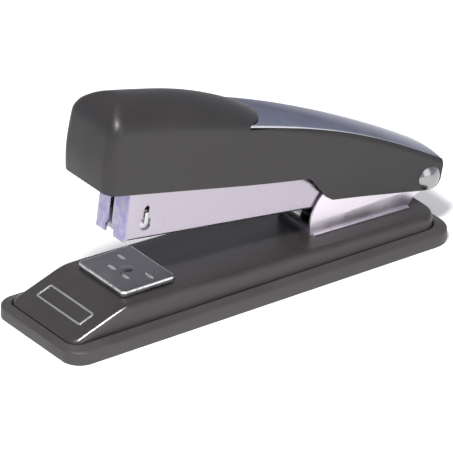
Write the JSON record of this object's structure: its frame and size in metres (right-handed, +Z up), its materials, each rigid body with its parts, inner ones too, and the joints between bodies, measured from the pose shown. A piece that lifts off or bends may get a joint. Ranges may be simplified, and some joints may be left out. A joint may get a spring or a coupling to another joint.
{
  "type": "stapler",
  "caption": "Desktop stapler: domed cover and staple magazine on a rear hinge bracket over a ramped steel base with a turning anvil.",
  "frame": {"origin": "middle of the whole object's footprint, on the surface that it stands on", "axes": "+Z up, +X along the length towards the hinge, +Y across; the nose of the cover is at -X"},
  "size_m": [0.1621, 0.049, 0.0832],
  "materials": {
    "cover_plastic": "fine matte moulded texture",
    "panel_gloss": "polished, high gloss",
    "base_paint": "satin black enamel, worn bright on the ramp's edges",
    "shoe_rubber": "matte moulded rubber",
    "magazine_plate": "bright nickel plate",
    "bracket_plate": "bright nickel plate with a soft brushed grain",
    "anvil_steel": "dark plated steel",
    "pin_chrome": "polished dome",
    "plate_trim": "bright raised rim",
    "zinc_steel": "zinc-plated",
    "spring_steel": "spring steel",
    "staple_wire": "bright wire"
  },
  "bodies": {
    "base": {"base_shoe": "shoe_rubber", "base_shell": "base_paint", "name_plate": "plate_trim", "base_screws": "zinc_steel", "hinge_bracket": "bracket_plate", "bracket_rivets": "zinc_steel", "hinge_pin": "pin_chrome", "lift_spring": "spring_steel"},
    "anvil_carrier": {"anvil_button": "zinc_steel", "anvil_spring": "spring_steel"},
    "anvil": {"anvil_plate": "anvil_steel", "anvil_post": "anvil_steel"},
    "magazine": {"magazine_channel": "magazine_plate", "staple_track": "zinc_steel", "track_rivets": "zinc_steel", "staple_rail": "zinc_steel", "guide_rod": "zinc_steel", "staple_strip": "staple_wire", "spring_bridge": "zinc_steel", "hinge_bush": "zinc_steel", "pusher_spring": "spring_steel", "cover_spring": "spring_steel"},
    "pusher": {"pusher": "zinc_steel"},
    "cover": {"cover_shell": "cover_plastic", "top_panel": "panel_gloss", "press_arm": "zinc_steel", "driver_blade": "zinc_steel", "driver_rivets": "zinc_steel", "cover_screws": "zinc_steel"}
  },
  "joints": [
    {"name": "magazine_hinge", "type": "hinge", "parent": "base", "child": "magazine", "pos_m": [0.0747, 0, 0.0199], "axis": [0, 1, 0], "range_deg": [-6.5, 80], "stiffness_Nm_per_rad": 1.2, "springref_deg": 3.81, "deforming": ["lift_spring"]},
    {"name": "cover_hinge", "type": "hinge", "parent": "magazine", "child": "cover", "pos_m": [0.0747, 0, 0.0199], "axis": [0, 1, 0], "range_deg": [-4.5, 75], "stiffness_Nm_per_rad": 0.8, "springref_deg": 1.48, "deforming": ["cover_spring"]},
    {"name": "pusher_slide", "type": "slide", "parent": "magazine", "child": "pusher", "axis": [0.9907, 0, -0.1357], "range_m": [0, 0.025], "stiffness_N_per_m": 60, "springref_m": -0.01, "deforming": ["pusher_spring"]},
    {"name": "anvil_lift", "type": "slide", "parent": "base", "child": "anvil_carrier", "axis": [0, 0, 1], "range_m": [0, 0.0022], "stiffness_N_per_m": 1500, "springref_m": -0.001, "deforming": ["anvil_spring"]},
    {"name": "anvil_turn", "type": "hinge", "parent": "anvil_carrier", "child": "anvil", "pos_m": [-0.0432, 0, 0.0161], "axis": [0, 0, 1], "range_deg": [0, 180]}
  ]
}
